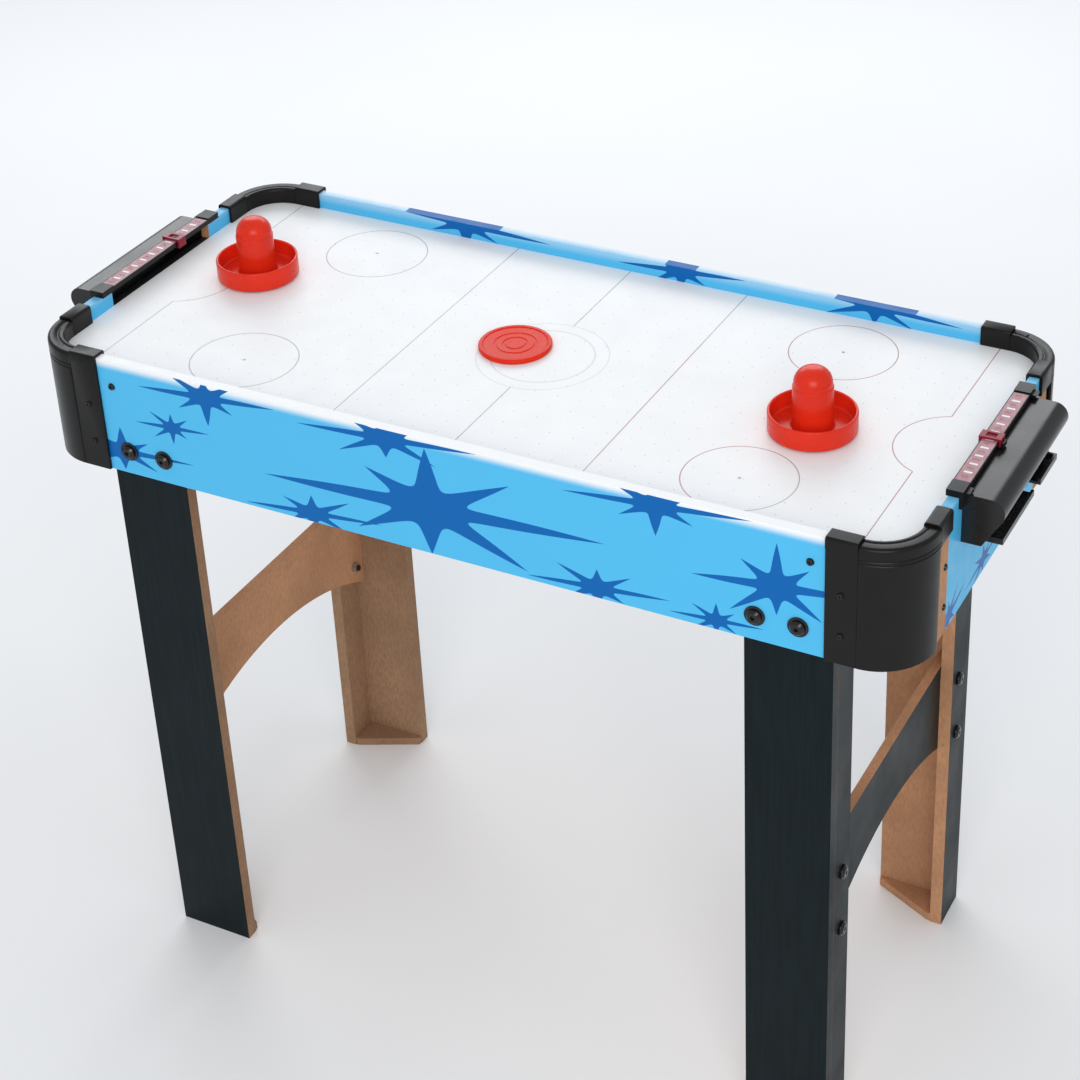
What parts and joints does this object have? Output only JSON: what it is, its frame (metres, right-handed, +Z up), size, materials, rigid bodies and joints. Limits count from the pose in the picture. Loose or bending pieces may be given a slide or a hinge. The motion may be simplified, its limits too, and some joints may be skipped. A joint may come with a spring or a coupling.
{
  "type": "air hockey table",
  "caption": "Small air hockey table: white perforated playfield in a printed board frame with rounded plastic corners, goal boxes with sliding score markers, board legs, strikers and puck.",
  "frame": {"origin": "floor level, midway between the four legs", "axes": "+X along the table towards the right goal as seen from the front, +Y from the front panel to the back panel, +Z up"},
  "size_m": [0.902, 0.3772, 0.698],
  "materials": {
    "printed_board": "light blue printed film with darker blue stars on fibreboard, satin",
    "playfield": "white lacquered hardboard with thin printed lines, smooth",
    "softwood": "raw sawn",
    "raw_board": "raw fibreboard",
    "black_moulding": "satin injection moulding",
    "black_gloss": "semi-gloss injection moulding",
    "number_strip": "printed score strip",
    "marker_plastic": "glossy dark red moulded plastic",
    "black_board": "black melamine outside, raw fibreboard inside and on the cut edges",
    "black_steel": "black oxide, semi-gloss",
    "zinc_steel": "zinc plated",
    "black_plastic": "moulded",
    "motor_can": "drawn steel can",
    "white_plastic": "moulded",
    "cell_jacket": "printed foil jacket",
    "contact_plate": "nickel plated",
    "rocker": "moulded",
    "wire": "insulated wire",
    "red_plastic": "glossy moulded red plastic",
    "felt": "needle felt"
  },
  "bodies": {
    "table": {"front_panel": "printed_board", "back_panel": "printed_board", "left_end_panel": "printed_board", "right_end_panel": "printed_board", "playfield": "playfield", "long_battens": "softwood", "end_battens": "softwood", "chamber_floor": "raw_board", "front_left_corner": "black_moulding", "front_right_corner": "black_moulding", "back_left_corner": "black_moulding", "back_right_corner": "black_moulding", "left_goal_box": "black_gloss", "right_goal_box": "black_gloss", "left_score_bar": "black_moulding", "right_score_bar": "black_moulding", "left_number_strip": "number_strip", "right_number_strip": "number_strip", "front_left_leg": "black_board", "front_right_leg": "black_board", "back_left_leg": "black_board", "back_right_leg": "black_board", "front_left_leg_side": "black_board", "front_right_leg_side": "black_board", "back_left_leg_side": "black_board", "back_right_leg_side": "black_board", "front_left_foot": "raw_board", "front_right_foot": "raw_board", "back_left_foot": "raw_board", "back_right_foot": "raw_board", "left_brace": "black_board", "right_brace": "black_board", "panel_bolts": "black_steel", "panel_washers": "black_steel", "panel_nuts": "zinc_steel", "brace_bolts": "black_steel", "brace_nuts": "zinc_steel", "moulding_screws": "black_steel", "panel_screws": "black_steel", "floor_screws": "zinc_steel", "fan_housing": "black_plastic", "intake_grille": "black_plastic", "fan_motor": "motor_can", "battery_box": "black_plastic", "battery_cells": "cell_jacket", "battery_contacts": "contact_plate", "switch_body": "black_plastic", "wiring": "wire"},
    "puck": {"puck": "red_plastic"},
    "left_striker": {"left_striker": "red_plastic", "left_felt": "felt"},
    "right_striker": {"right_striker": "red_plastic", "right_felt": "felt"},
    "left_marker": {"left_marker": "marker_plastic", "left_marker_clip": "black_moulding"},
    "right_marker": {"right_marker": "marker_plastic", "right_marker_clip": "black_moulding"},
    "impeller": {"impeller": "white_plastic"},
    "switch_rocker": {"switch_rocker": "rocker"},
    "battery_cover": {"battery_cover": "black_plastic"}
  },
  "joints": [
    {"name": "puck_slide", "type": "slide", "parent": "table", "child": "puck", "axis": [1, 0, 0], "range_m": [-0.21, 0.215]},
    {"name": "left_striker_slide", "type": "slide", "parent": "table", "child": "left_striker", "axis": [0, 1, 0], "range_m": [-0.159, 0.101]},
    {"name": "right_striker_slide", "type": "slide", "parent": "table", "child": "right_striker", "axis": [0, 1, 0], "range_m": [-0.11, 0.15]},
    {"name": "left_marker_slide", "type": "slide", "parent": "table", "child": "left_marker", "axis": [0, 1, 0], "range_m": [-0.095, 0.037]},
    {"name": "right_marker_slide", "type": "slide", "parent": "table", "child": "right_marker", "axis": [0, 1, 0], "range_m": [-0.064, 0.068]},
    {"name": "impeller_spin", "type": "hinge", "parent": "table", "child": "impeller", "pos_m": [0, 0, 0.6], "axis": [0, 0, 1], "continuous": true},
    {"name": "switch_rock", "type": "hinge", "parent": "table", "child": "switch_rocker", "pos_m": [0.2, 0.1825, 0.592], "axis": [1, 0, 0], "range_deg": [0, 16]},
    {"name": "battery_cover_slide", "type": "slide", "parent": "table", "child": "battery_cover", "axis": [1, 0, 0], "range_m": [0, 0.075]}
  ]
}
